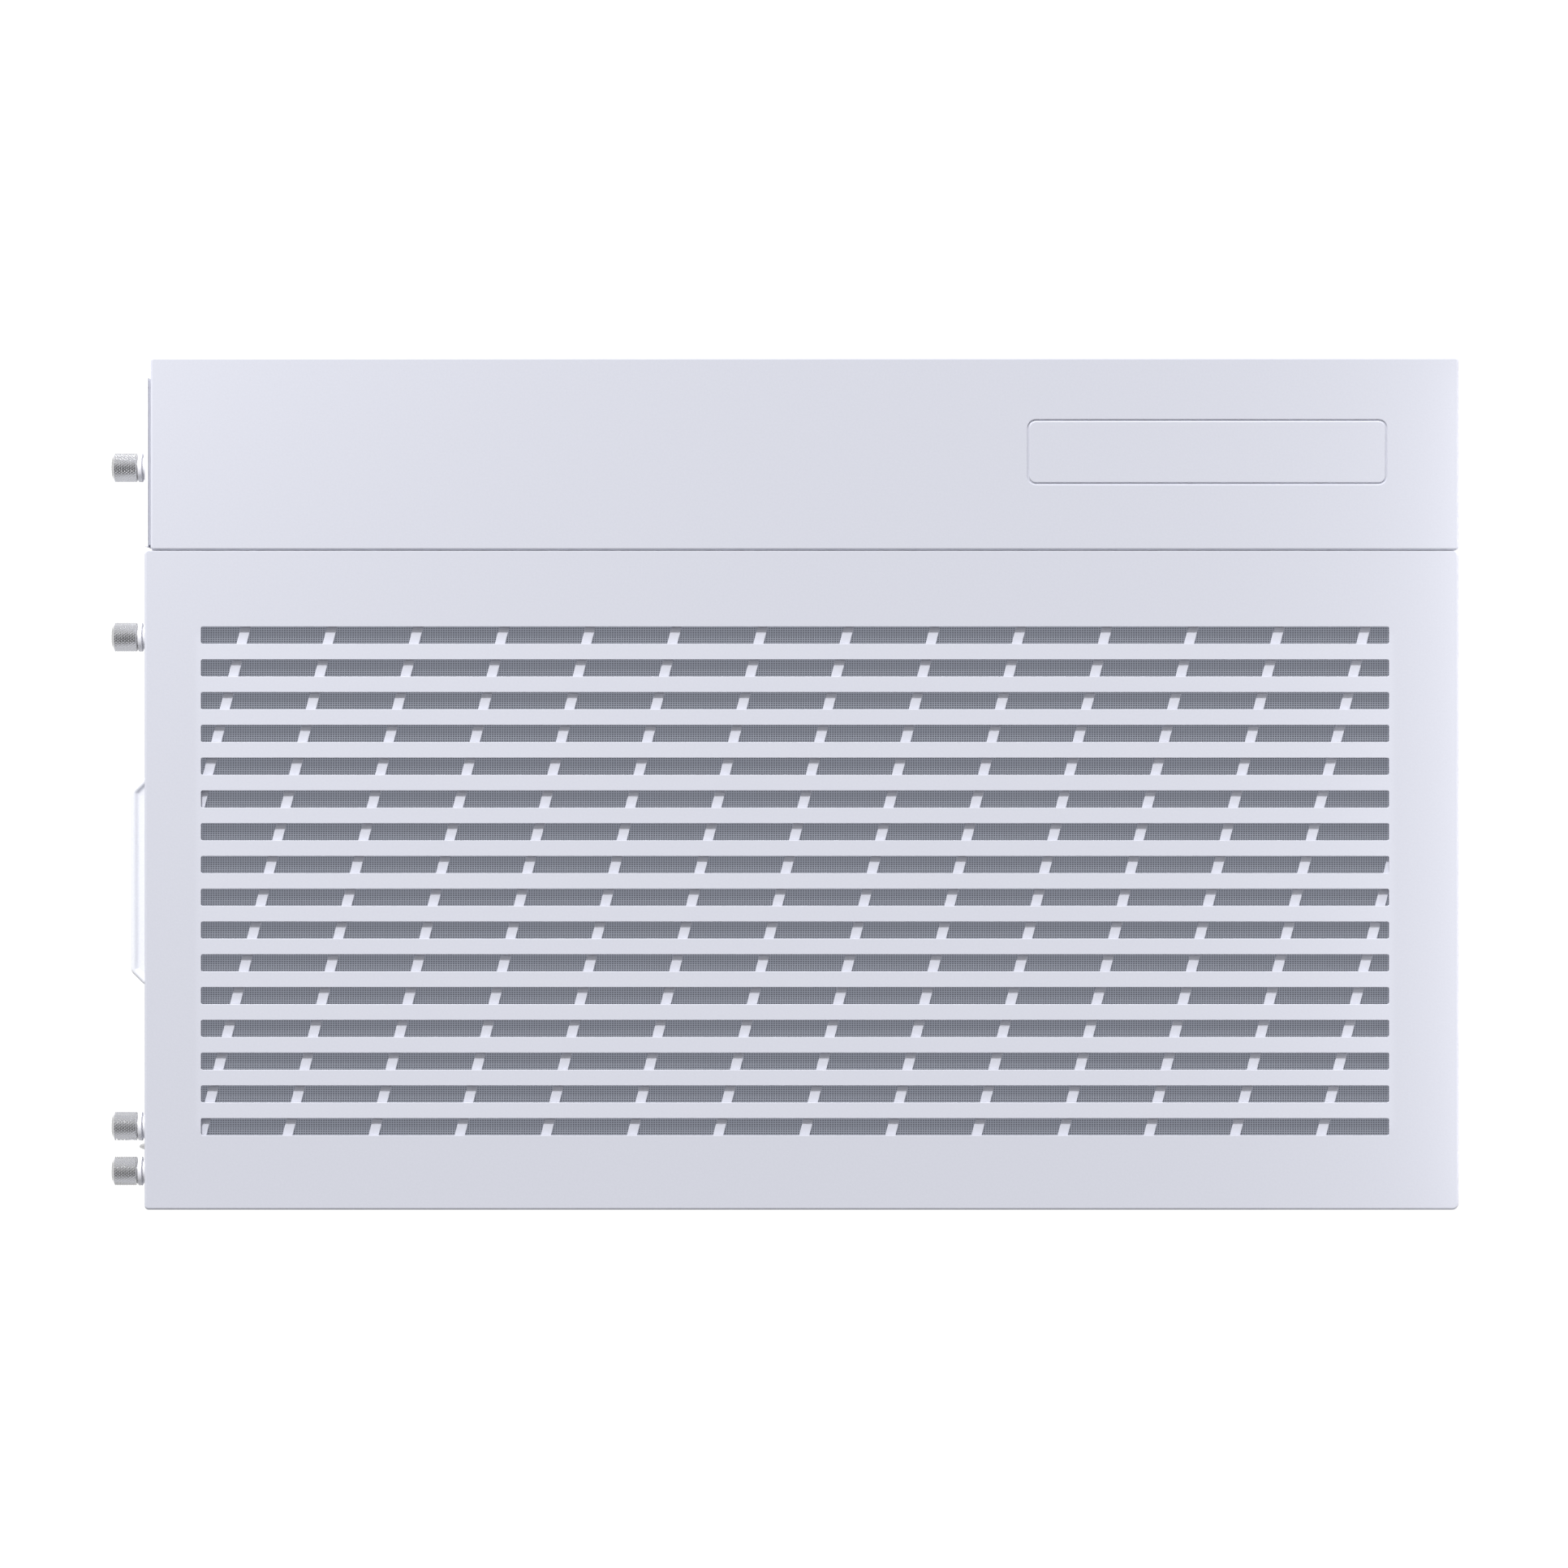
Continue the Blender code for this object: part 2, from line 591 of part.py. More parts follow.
def thumbscrew_parts(name, y, z):
    """Make one captive thumbscrew and its collar, and return both."""
    seat = COLLAR_X[1]
    head = seat - HEAD_X[0]
    base = seat - HEAD_X[1]
    chamfer = 0.0009
    end = seat + 0.2160
    profile = [(0.0, head), (HEAD_RADIUS - chamfer, head), (HEAD_RADIUS, head - chamfer),
               (HEAD_RADIUS, base), (NECK_RADIUS, base), (NECK_RADIUS, -0.0006),
               (THREAD_RADIUS, -0.0010), (THREAD_RADIUS, end), (0.0, end)]
    screw = turned_part(name, profile, 16, "steel", (seat, y, z))
    ring = [(HEAD_RADIUS, seat - COLLAR_X[0]), (HEAD_RADIUS, seat - BUSH_X),
            (BUSH_RADIUS, seat - BUSH_X), (BUSH_RADIUS, 0.0), (BORE_RADIUS, 0.0),
            (BORE_RADIUS, seat - COLLAR_X[0])]
    collar = turned_part(f"{name}_collar", ring, 16, "white", (seat, y, z), closed=True)
    return screw, collar


def thumbscrews(group, places):
    """Make the thumbscrews of one panel; return the screws' empties and the collars."""
    screws, collars = [], []
    for number, (y, z) in enumerate(places, 1):
        screw, collar = thumbscrew_parts(f"{group}_thumbscrew_{number}", y, z)
        screws.append(body_empty(f"{screw.name}_body", (COLLAR_X[1], y, z), [screw]))
        collars.append(collar)
    return screws + collars


# ---------------------------------------------------------------- vented top panel

FLANGE_T = 0.0011
FLANGE_Y = (-0.1285, PANEL_END_Y)
FLANGE_Z = (0.4408, 0.4540)
TAB_Y = (-0.0711, 0.0021)
TAB_END_X = -0.2315
TAB_Z = (0.4494, 0.4506)
TAB_RIM_Z = 0.4525
TAB_CHAMFER = 0.0046
TAB_RIM = 0.0020
FRAME_X = (-0.2130, 0.2200)
FRAME_Y = (-0.1313, 0.0627)
FRAME_WINDOW_X = (-0.2070, 0.2140)
FRAME_WINDOW_Y = (-0.1258, 0.0572)


def slot_centres():
    """Return the middle Y of every vent slot."""
    return [FIRST_SLOT_Y - i * SLOT_PITCH for i in range(SLOT_COUNT)]


def pull_tab():
    """Return the finger tab: a small tray with cut corners and a turned-up rim."""
    bm = bmesh.new()
    plate = add_block(bm, (TAB_END_X, FLANGE_X + FLANGE_T / 2), TAB_Y, (TAB_Z[0], TAB_RIM_Z))
    outer = [vertex for vertex in plate if vertex.co.x < TAB_END_X + GAP]
    edges = [edge for edge in bm.edges if all(vertex in outer for vertex in edge.verts)
             and abs(edge.verts[0].co.z - edge.verts[1].co.z) > GAP]
    bmesh.ops.bevel(bm, geom=edges, offset=TAB_CHAMFER, segments=1, affect="EDGES")
    return bm


def pull_tab_well():
    """Return the hollow of the finger tab, inside its rim and above its floor."""
    bm = bmesh.new()
    well = add_block(bm, (TAB_END_X + TAB_RIM, FLANGE_X - 0.0002),
                     (TAB_Y[0] + TAB_RIM, TAB_Y[1] - TAB_RIM), (TAB_Z[1], TAB_RIM_Z + SHEET))
    outer = [vertex for vertex in well if vertex.co.x < TAB_END_X + TAB_RIM + GAP]
    edges = [edge for edge in bm.edges if all(vertex in outer for vertex in edge.verts)
             and abs(edge.verts[0].co.z - edge.verts[1].co.z) > GAP]
    bmesh.ops.bevel(bm, geom=edges, offset=TAB_CHAMFER - TAB_RIM * 0.6, segments=1,
                    affect="EDGES")
    return bm


def make_vent_panel():
    """Make the slatted top panel with its rear flange and finger tab."""
    panel = shell_part("top_vent_panel", (FLANGE_X, FRONT_X), (-HALF_Y, PANEL_END_Y), TOP_Z,
                       [(0, 0, -1)], front_radius=0.0023)
    join(panel, [((FLANGE_X, FLANGE_X + FLANGE_T), FLANGE_Y, FLANGE_Z)])
    combine(panel, pull_tab(), "UNION")
    combine(panel, pull_tab_well(), "DIFFERENCE")
    through = (TOP_Z[1] - 2 * SHEET, TOP_Z[1] + SHEET)
    slots = [(SLOT_X, span(y, SLOT_WIDTH), through) for y in slot_centres()]
    cut(panel, slots, screw_holes(FLANGE_X, TOP_SCREWS, BORE_RADIUS))
    return panel


def make_rib_grille():
    """Make the slanted ribs that lie crosswise under the slots."""
    middle_y = sum(FRAME_WINDOW_Y) / 2
    length = FRAME_WINDOW_Y[1] - FRAME_WINDOW_Y[0]
    grille = block_part("slanted_rib_grille", (-0.2100, 0.2170), (-0.1283, 0.0597), RIB_Z,
                        "white")
    through = (RIB_Z[0] - SHEET, RIB_Z[1] + SHEET)
    leaning = bmesh.new()
    for gap in range(RIB_GAPS):
        x = RIB_MIDDLE_X + (gap - (RIB_GAPS - 1) / 2) * RIB_PITCH
        add_block(leaning, span(x, RIB_PITCH - RIB_WIDTH), span(middle_y, length), through,
                  RIB_LEAN)
    openings = combine(grille, leaning, "DIFFERENCE")
    window = bmesh.new()
    add_block(window, FRAME_WINDOW_X, span(middle_y, 2 * length),
              (through[0] - SHEET, through[1] + SHEET))
    combine(openings, window, "INTERSECT")
    return grille


def make_top_filter():
    """Make the dust filter's mesh and its frame."""
    mesh = block_part("top_filter_mesh", (-0.2090, 0.2160), (-0.1273, 0.0587),
                      (0.4610, 0.4616), "mesh")
    frame = block_part("top_filter_frame", FRAME_X, FRAME_Y, (0.4588, 0.4606), "white")
    cut(frame, [(FRAME_WINDOW_X, FRAME_WINDOW_Y, (0.457, 0.462))])
    return [mesh, frame]


def make_top_body():
    """Make everything that comes off with the top panel."""
    members = [make_vent_panel(), make_rib_grille()] + make_top_filter()
    members += thumbscrews("top", TOP_SCREWS)
    body_empty("top_panel", (FLANGE_X, -0.0345, TOP_SCREWS[0][1]), members)


# ---------------------------------------------------------------- other moving panels

RAIL_TOP_Z = 0.4520
PSU_PLATE_TOP_Z = 0.4630        # top of the plate's part behind the side cover
VENT_ROWS = 24
VENT_PITCH = 0.0150
STUD_PLACES = ((-0.212, 0.035), (0.212, 0.035), (-0.212, 0.435), (0.212, 0.435))


def make_left_body():
    """Make the glass side panel, its steel rail and its thumbscrews."""
    glass = block_part("left_glass", (-0.2226, 0.2327), (-HALF_Y, -HALF_Y + GLASS), SIDE_Z,
                       "glass", bevel=0.0005)
    rail = block_part("left_panel_rail", (FLANGE_X, -0.200), (-0.1457, -0.1446),
                      (SIDE_Z[0] + 0.002, 0.440), "white")
    join(rail, [((FLANGE_X, FLANGE_X + FLANGE_T), (-0.1457, -0.1315),
                 (SIDE_Z[0] + 0.002, RAIL_TOP_Z))])
    cut(rail, [], screw_holes(FLANGE_X, LEFT_SCREWS, BORE_RADIUS))
    members = [glass, rail] + thumbscrews("left", LEFT_SCREWS)
    body_empty("left_panel", (FLANGE_X, LEFT_SCREWS[0][0], 0.240), members)


def make_psu_body():
    """Make the power supply's mounting plate and its thumbscrews."""
    plate = block_part("psu_backplate", (FLANGE_X, FLANGE_X + SHEET), (TRAY_Y, 0.1429),
                       (0.024, 0.440), "white")
    join(plate, [((FLANGE_X, FLANGE_X + SHEET), (SIDE_START_Y + 0.0010, 0.1429),
                  (0.430, PSU_PLATE_TOP_Z))])
    through = (FLANGE_X - SHEET, FLANGE_X + 2 * SHEET)
    vents = [(through, (0.068, 0.134), span(0.272 + i * 0.014, 0.005)) for i in range(10)]
    cut(plate, [(through,) + PSU_CUTOUT] + vents,
        screw_holes(FLANGE_X, PSU_SCREWS, BORE_RADIUS))
    members = [plate] + thumbscrews("psu", PSU_SCREWS)
    body_empty("psu_carrier", (FLANGE_X, PSU_SCREWS[0][0], 0.240), members)


def make_right_body():
    """Make the steel right side panel with its vents and snap studs."""
    panel = block_part("right_side_panel", (-0.2224, 0.2226), (HALF_Y - SHEET, HALF_Y),
                       SIDE_Z, "white")
    studs = [((x, HALF_Y - SHEET / 2 - 0.003, z), 0.003, 0.006, (0, 1, 0))
             for x, z in STUD_PLACES]
    join(panel, [], studs)
    through = (HALF_Y - 2 * SHEET, HALF_Y + SHEET)
    cut(panel, [(FAN_WINDOW_X, through, span(0.060 + i * VENT_PITCH, 0.005))
                for i in range(VENT_ROWS)])
    body_empty("right_panel", (0.0, HALF_Y, 0.240), [panel])


def make_bottom_filter():
    """Make the base's dust filter, which slides out towards the glass side."""
    frame = block_part("bottom_filter_frame", (-FILTER_HALF_X, FILTER_HALF_X),
                       (-HALF_Y, 0.024), (0.0117, 0.0175), "black")
    join(frame, [((-FILTER_HALF_X, FILTER_HALF_X), (-HALF_Y, -HALF_Y + SHEET),
                  (PAN_Z[0], 0.0175))])
    cut(frame, [((-0.178, 0.178), (-0.113, 0.013), (0.010, 0.019))])
    mesh = block_part("bottom_filter_mesh", (-0.1775, 0.1775), (-0.1125, 0.0125),
                      (0.0143, 0.0149), "mesh")
    body_empty("bottom_filter", (0.0, -HALF_Y, 0.0146), [frame, mesh])


def main():
    """Build the whole case."""
    clear_scene()
    for make in (make_base_pan, make_feet, make_rear_wall, make_motherboard_tray,
                 make_side_fan_bracket, make_grommets, make_top_bracket, make_front_post,
                 make_psu_cradle, make_slot_covers, make_side_column, make_side_cover,
                 make_front_glass, make_rear_stud, make_io_panel, make_sockets,
                 make_buttons, make_top_body, make_left_body, make_psu_body,
                 make_right_body, make_bottom_filter):
        make()


main()
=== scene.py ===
"""Looks of the white dual-chamber computer case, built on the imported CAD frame."""

import json
import math

import bmesh
import bpy
import numpy as np
from mathutils import Matrix, Vector
from mathutils.geometry import tessellate_polygon


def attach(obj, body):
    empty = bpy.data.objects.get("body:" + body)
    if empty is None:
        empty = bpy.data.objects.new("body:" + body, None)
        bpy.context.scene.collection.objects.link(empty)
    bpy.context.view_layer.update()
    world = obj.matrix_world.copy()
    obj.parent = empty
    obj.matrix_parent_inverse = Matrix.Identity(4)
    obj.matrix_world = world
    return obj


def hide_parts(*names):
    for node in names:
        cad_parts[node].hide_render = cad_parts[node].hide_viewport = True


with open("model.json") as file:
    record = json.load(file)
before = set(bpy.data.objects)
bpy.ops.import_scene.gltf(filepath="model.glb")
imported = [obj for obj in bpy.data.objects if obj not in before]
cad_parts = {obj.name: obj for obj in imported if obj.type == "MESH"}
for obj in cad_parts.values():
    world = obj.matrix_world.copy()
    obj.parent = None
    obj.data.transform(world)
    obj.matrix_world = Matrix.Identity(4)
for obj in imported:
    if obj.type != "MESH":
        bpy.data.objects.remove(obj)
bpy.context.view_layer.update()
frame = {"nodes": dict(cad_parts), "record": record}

# ---------------------------------------------------------------- sizes, in metres

SHEET = 0.0012
FRONT_X = 0.23705
FLANGE_X = -0.2254
COVER_REAR_X = -0.2233
HALF_Y = 0.150
PANEL_END_Y = 0.08193
SIDE_START_Y = 0.08212
LIP_Z = 0.453
TOP_Z = 0.465
FLANGE_Z = 0.4408
FLANGE_START_Y = -0.1285
SLOT_X = (-0.2055, 0.2125)
SLOT_PITCH = 0.01153
SLOT_WIDTH = 0.0060
FIRST_SLOT_Y = 0.0522
SLOT_COUNT = 16
FILTER_X = (-0.2090, 0.2160)
FILTER_Y = (-0.1273, 0.0587)
RIB_Z = (0.4626, 0.4634)
WEAVE_Z = 0.4622
SHADE_SHEET_Z = (0.4612, 0.4616)
SCREW_SEAT_X = -0.2257
SCREW_BASE_X = -0.2296
SCREW_HEAD_X = -0.2386
SCREW_RADIUS = 0.0051


# ---------------------------------------------------------------- materials

def surface(name, low, high, roughness, metallic=0.0, grain=700.0, bump=0.0, alpha=1.0,
            stretch=(1.0, 1.0, 1.0), glow=None):
    """A procedural finish: two close colours mottled by noise, and a fine relief.

    glow is light that the surface gives off itself, the same all over.
    """
    material = bpy.data.materials.new(name)
    material.use_nodes = True
    nodes, links = material.node_tree.nodes, material.node_tree.links
    shader = nodes["Principled BSDF"]
    place = nodes.new("ShaderNodeTexCoord")
    fit = nodes.new("ShaderNodeMapping")
    fit.inputs["Scale"].default_value = stretch
    links.new(place.outputs["Object"], fit.inputs["Vector"])
    mottle = nodes.new("ShaderNodeTexNoise")
    mottle.inputs["Scale"].default_value = grain
    mottle.inputs["Detail"].default_value = 3.0
    links.new(fit.outputs["Vector"], mottle.inputs["Vector"])
    ramp = nodes.new("ShaderNodeValToRGB")
    ramp.color_ramp.elements[0].position = 0.3
    ramp.color_ramp.elements[1].position = 0.7
    ramp.color_ramp.elements[0].color = (*low, 1.0)
    ramp.color_ramp.elements[1].color = (*high, 1.0)
    links.new(mottle.outputs["Fac"], ramp.inputs["Fac"])
    links.new(ramp.outputs["Color"], shader.inputs["Base Color"])
    spread = nodes.new("ShaderNodeMapRange")
    spread.inputs["To Min"].default_value = roughness - 0.04
    spread.inputs["To Max"].default_value = roughness + 0.04
    links.new(mottle.outputs["Fac"], spread.inputs["Value"])
    links.new(spread.outputs["Result"], shader.inputs["Roughness"])
    if bump:
        relief = nodes.new("ShaderNodeBump")
        relief.inputs["Strength"].default_value = 0.5
        relief.inputs["Distance"].default_value = bump
        links.new(mottle.outputs["Fac"], relief.inputs["Height"])
        links.new(relief.outputs["Normal"], shader.inputs["Normal"])
    shader.inputs["Metallic"].default_value = metallic
    shader.inputs["Alpha"].default_value = alpha
    if glow:
        shader.inputs["Emission Color"].default_value = (*glow, 1.0)
        shader.inputs["Emission Strength"].default_value = 1.0
    return material


def around(nodes, links, middle, half, fade, levels):
    """A level inside a box, another outside it, and a fade between them."""
    place = nodes.new("ShaderNodeTexCoord")
    last = place.outputs["Object"]
    for operation, amount in (("SUBTRACT", middle), ("ABSOLUTE", None), ("SUBTRACT", half),
                              ("MAXIMUM", (0, 0, 0)), ("LENGTH", None)):
        step = nodes.new("ShaderNodeVectorMath")
        step.operation = operation
        links.new(last, step.inputs[0])
        if amount:
            step.inputs[1].default_value = amount
        last = step.outputs["Value" if operation == "LENGTH" else "Vector"]
    level = nodes.new("ShaderNodeMapRange")
    level.interpolation_type = "SMOOTHSTEP"
    level.inputs["From Max"].default_value = fade
    level.inputs["To Min"].default_value, level.inputs["To Max"].default_value = levels
    links.new(last, level.inputs["Value"])
    return level.outputs["Result"]


def powder_coat(name):
    """The white paint of the steel sheets."""
    return surface(name, (0.624, 0.635, 0.709), (0.644, 0.655, 0.729), 0.50, grain=1400.0,
                   bump=0.00002)


def vent_paint_painted_light():
    """The powder coat with painted light: a little lighter on the slats than on the margins."""
    slat_painted_light, blend = 1.045, 0.003
    material = powder_coat("vent_paint_painted_light")
    nodes, links = material.node_tree.nodes, material.node_tree.links
    middle = (sum(SLOT_X) / 2, FIRST_SLOT_Y - (SLOT_COUNT - 1) * SLOT_PITCH / 2, TOP_Z)
    half = ((SLOT_X[1] - SLOT_X[0]) / 2, (SLOT_COUNT - 1) * SLOT_PITCH / 2 - 0.001, 0.002)
    # Painted light: the paint is raised by this gain over the slotted area, and fades to the
    # plain coat at the margins.
    level = around(nodes, links, middle, half, blend, (slat_painted_light, 1.0))
    scale = nodes.new("ShaderNodeVectorMath")
    scale.operation = "SCALE"
    links.new(nodes["Color Ramp"].outputs["Color"], scale.inputs[0])
    links.new(level, scale.inputs["Scale"])
    links.new(scale.outputs["Vector"], nodes["Principled BSDF"].inputs["Base Color"])
    return material


FINISH = {
    "white_steel": powder_coat("powder_coat"),
    "white_rib": surface("rib_paint", (0.657, 0.667, 0.742), (0.677, 0.687, 0.762), 0.50,
                         grain=1400.0, bump=0.00002),
    "clear_glass": surface("tinted_glass", (0.024, 0.029, 0.030), (0.030, 0.035, 0.036),
                           0.05, grain=500.0, alpha=0.20),
    "knurled_steel": surface("nickel", (0.80, 0.80, 0.81), (0.90, 0.90, 0.90), 0.17, 1.0,
                             grain=2500.0, bump=0.00001),
    "white_collar": surface("collar_plastic", (0.84, 0.84, 0.87), (0.88, 0.88, 0.91), 0.42,
                            grain=900.0, bump=0.00001),
    # The threads' glow is painted light: it brightens them evenly and hides the shade that the
    # slats cast on the mesh.
    "filter_mesh": surface("filter_thread_painted_glow", (0.07, 0.074, 0.085), (0.10, 0.104, 0.118), 0.65,
                           grain=2600.0, bump=0.00002, glow=(0.208, 0.220, 0.262)),
    "filter_frame": surface("filter_rim", (0.72, 0.73, 0.77), (0.76, 0.77, 0.81), 0.48,
                            grain=900.0, bump=0.00001),
    "black_plastic": surface("black_plastic", (0.022, 0.022, 0.024), (0.034, 0.034, 0.037),
                             0.46, grain=1100.0, bump=0.00002),
    "rubber": surface("rubber", (0.018, 0.018, 0.019), (0.030, 0.030, 0.031), 0.80,
                      grain=900.0, bump=0.00003),
    "port_metal": surface("port_shell", (0.55, 0.55, 0.57), (0.66, 0.66, 0.67), 0.28, 1.0,
                          grain=1500.0, stretch=(0.1, 1.0, 1.0)),
    "stud_steel": surface("zinc", (0.78, 0.78, 0.79), (0.88, 0.88, 0.88), 0.32, 1.0,
                          grain=1800.0),
    "button_white": surface("button_plastic", (0.74, 0.75, 0.79), (0.78, 0.79, 0.83), 0.36,
                            grain=900.0, bump=0.00001),
    "circuit_board": surface("solder_mask", (0.010, 0.040, 0.022), (0.022, 0.062, 0.036), 0.40,
                             grain=600.0, bump=0.00001),
}


# ---------------------------------------------------------------- outlines and solids

def show(name, data):
    """Put a mesh, a light or a camera into the scene."""
    thing = bpy.data.objects.new(name, data)
    bpy.context.scene.collection.objects.link(thing)
    return thing


def grown(span, amount):
    """A span made longer by an amount at both ends."""
    return (span[0] - amount, span[1] + amount)


def meet(first, reach_1, second, reach_2):
    """The step whose distances against two directions are reach_1 and reach_2."""
    det = first.x * second.y - first.y * second.x
    return Vector(((second.y * -reach_1 + first.y * reach_2) / det,
                   (first.x * -reach_2 + second.x * reach_1) / det))


class Outline:
    """A convex outline with round corners. Its corners run anticlockwise.

    follow says how far each side moves with an inset, and stations adds points on a
    side: {side: [distance from the side's first corner]}.
    """

    def __init__(self, corners, radii, steps=4, follow=None, stations=None):
        self.corners = [Vector(corner) for corner in corners]
        count = len(corners)
        self.radii = radii if isinstance(radii, (list, tuple)) else [radii] * count
        self.steps = steps
        self.follow = follow or [1.0] * count
        self.stations = stations or {}

    def at(self, inset):
        """Points and outward directions of the outline after an inset."""
        points, outs = [], []
        count = len(self.corners)
        for i, corner in enumerate(self.corners):
            after = (self.corners[(i + 1) % count] - corner).normalized()
            before = (corner - self.corners[i - 1]).normalized()
            first = Vector((before.y, -before.x))
            second = Vector((after.y, -after.x))
            shift = meet(first, self.follow[i - 1] * inset, second, self.follow[i] * inset)
            radius = max(self.radii[i] - inset, 0.00005)
            centre = corner + shift + meet(first, radius, second, radius)
            turn = math.atan2(first.cross(second), first.dot(second))
            for step in range(self.steps + 1):
                out = first.copy()
                out.rotate(Matrix.Rotation(turn * step / self.steps, 2))
                points.append(centre + out * radius)
                outs.append(out)
            for distance in self.stations.get(i, ()):
                points.append(corner + after * distance - second * self.follow[i] * inset)
                outs.append(second)
        return points, outs


def rectangle(x, y, radii, **more):
    """A rectangle with round corners: low-low, high-low, high-high, low-high."""
    return Outline([(x[0], y[0]), (x[1], y[0]), (x[1], y[1]), (x[0], y[1])], radii, **more)


def rounding(radius, top, steps):
    """Profile of an edge rounded from a flat top to an upright wall."""
    turns = [math.pi / 2 * step / steps for step in range(steps + 1)]
    return [(radius * (1 - math.sin(a)), top - radius * (1 - math.cos(a)), math.degrees(a))
            for a in turns]


class Solid:
    """A mesh built ring by ring, with the normal wanted at each corner of each face."""

    def __init__(self):
        self.points, self.faces, self.normals = [], [], []

    def ring(self, points):
        """Add points and return their numbers."""
        first = len(self.points)
        self.points += [tuple(point) for point in points]
        return list(range(first, len(self.points)))

    def face(self, corners, normals):
        """Add a face, turned to agree with its normals. A face with no area is left out."""
        spots = [Vector(self.points[i]) for i in corners]
        area = sum((a.cross(b) for a, b in zip(spots, spots[1:] + spots[:1])), Vector())
        if area.length < 1e-13:
            return
        if area.dot(sum(normals, Vector())) < 0:
            corners, normals = corners[::-1], normals[::-1]
        self.faces.append(corners)
        self.normals += normals

    def loft(self, outline, profile, inward=False):
        """Sweep a profile of (inset, height, tilt in degrees) round an outline.

        A height may be a function of the outline's point. inward is for a hole's wall.
        A fourth number is the tilt beyond a sharp edge. Returns the first and last ring.
        """
        side = -1 if inward else 1
        rings = []
        for inset, height, *tilts in profile:
            points, outs = outline.at(inset)
            level = height if callable(height) else lambda point, z=height: z
            ring = self.ring([(p.x, p.y, level(p)) for p in points])
            leans = [[Vector((*(out * (side * math.sin(math.radians(t)))),
                              math.cos(math.radians(t)))) for out in outs]
                     for t in (tilts[0], tilts[-1])]
            rings.append((ring, leans))
        for (ring_a, (_, from_a)), (ring_b, (to_b, _)) in zip(rings, rings[1:]):
            count = len(ring_a)
            for i in range(count):
                j = (i + 1) % count
                self.face([ring_a[i], ring_a[j], ring_b[j], ring_b[i]],
                          [from_a[i], from_a[j], to_b[j], to_b[i]])
        return rings[0][0], rings[-1][0]

    def cap(self, rings, up):
        """Close flat rings: the first is the outline and the others are its holes."""
        flat = [[Vector(self.points[i]) for i in ring] for ring in rings]
        every = [i for ring in rings for i in ring]
        normal = Vector(up)
        for triangle in tessellate_polygon(flat):
            self.face([every[i] for i in triangle], [normal] * 3)

    def make(self, name, placed=None):
        """Turn the solid into an object."""
        mesh = bpy.data.meshes.new(name)
        mesh.from_pydata(self.points, [], self.faces)
        mesh.polygons.foreach_set("use_smooth", [True] * len(mesh.polygons))
        mesh.normals_split_custom_set([tuple(normal.normalized()) for normal in self.normals])
        if placed:
            mesh.transform(placed)
        return show(name, mesh)


# ---------------------------------------------------------------- what each piece belongs to

BODY_OF = {node: body for body, nodes in frame["record"]["behaviour"]["bodies"].items()
           for node in nodes}


def belong(piece, finish, body, *nodes):
    """Give a piece its finish and the CAD body and nodes it stands for."""
    piece.data.materials.clear()
    piece.data.materials.append(FINISH[finish])
    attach(piece, body)
    if nodes:
        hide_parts(*nodes)
    return piece


def plate(name, outline, z, edge, finish, body, nodes, holes=()):
    """A flat plate with broken edges and holes."""
    solid = Solid()
    low, high = z
    profile = rounding(edge, high, 3)
    profile += [(inset, low + high - height, 180 - tilt) for inset, height, tilt
                in reversed(profile)]
    top, bottom = solid.loft(outline, profile)
    hollow = [(-inset, height, tilt) for inset, height, tilt in profile]
    ends = [solid.loft(hole, hollow, inward=True) for hole in holes]
    solid.cap([top] + [end[0] for end in ends], (0, 0, 1))
    solid.cap([bottom] + [end[1] for end in ends], (0, 0, -1))
    return belong(solid.make(name), finish, body, *nodes)


def folded_cover(name, outline, lip, fold, holes, hole_edge):
    """A sheet with its rim folded down to the height lip, and holes in its top."""
    solid = Solid()
    rim = 0.0002
    inner = TOP_Z - SHEET
    above = (lambda p: lip(p) + rim) if callable(lip) else lip + rim
    profile = rounding(fold, TOP_Z, 6)
    profile += [(0.0, above, 90), (rim, lip, 180), (SHEET - rim, lip, 180),
                (SHEET, above, 270), (SHEET, inner, 270)]
    top, under = solid.loft(outline, profile)
    hollow = [(-inset, height, tilt) for inset, height, tilt in rounding(hole_edge, TOP_Z, 3)]
    hollow += [(0.0, inner, 90)]
    ends = [solid.loft(hole, hollow, inward=True) for hole in holes]
    solid.cap([top] + [end[0] for end in ends], (0, 0, 1))
    solid.cap([under] + [end[1] for end in ends], (0, 0, -1))
    return solid.make(name)


# ---------------------------------------------------------------- vented top panel

def slot_outlines():
    """The sixteen long slots."""
    middles = [FIRST_SLOT_Y - i * SLOT_PITCH for i in range(SLOT_COUNT)]
    return [rectangle(SLOT_X, (y - SLOT_WIDTH / 2, y + SLOT_WIDTH / 2), 0.0006, steps=3)
            for y in middles]


def panel_lip(point):
    """Height of the panel's folded rim: the rear flange reaches further down."""
    rear = point.x < FLANGE_X + 0.0013 and point.y > FLANGE_START_Y - 0.00001
    return FLANGE_Z if rear else LIP_Z


def make_vent_panel():
    """The slatted top panel with its rear flange.

    The stations are where the folded rim steps down to the flange.
    """
    hair = 0.00002
    rear_radius, front_radius = 0.0014, 0.0023
    arc_start = FRONT_X - FLANGE_X - rear_radius
    rear_side = PANEL_END_Y - FLANGE_START_Y
    outline = rectangle((FLANGE_X, FRONT_X), (-HALF_Y, PANEL_END_Y),
                        [rear_radius, front_radius, front_radius, rear_radius], steps=6,
                        follow=[0.9, 0.85, 0.25, 1.0],
                        stations={2: [arc_start - 0.0002, arc_start],
                                  3: [rear_side, rear_side + hair]})
    panel = folded_cover("top_panel_sheet", outline, panel_lip, 0.0010, slot_outlines(), 0.00015)
    belong(panel, "white_steel", "top_panel", "top_vent_panel")
    panel.data.materials[0] = vent_paint_painted_light()


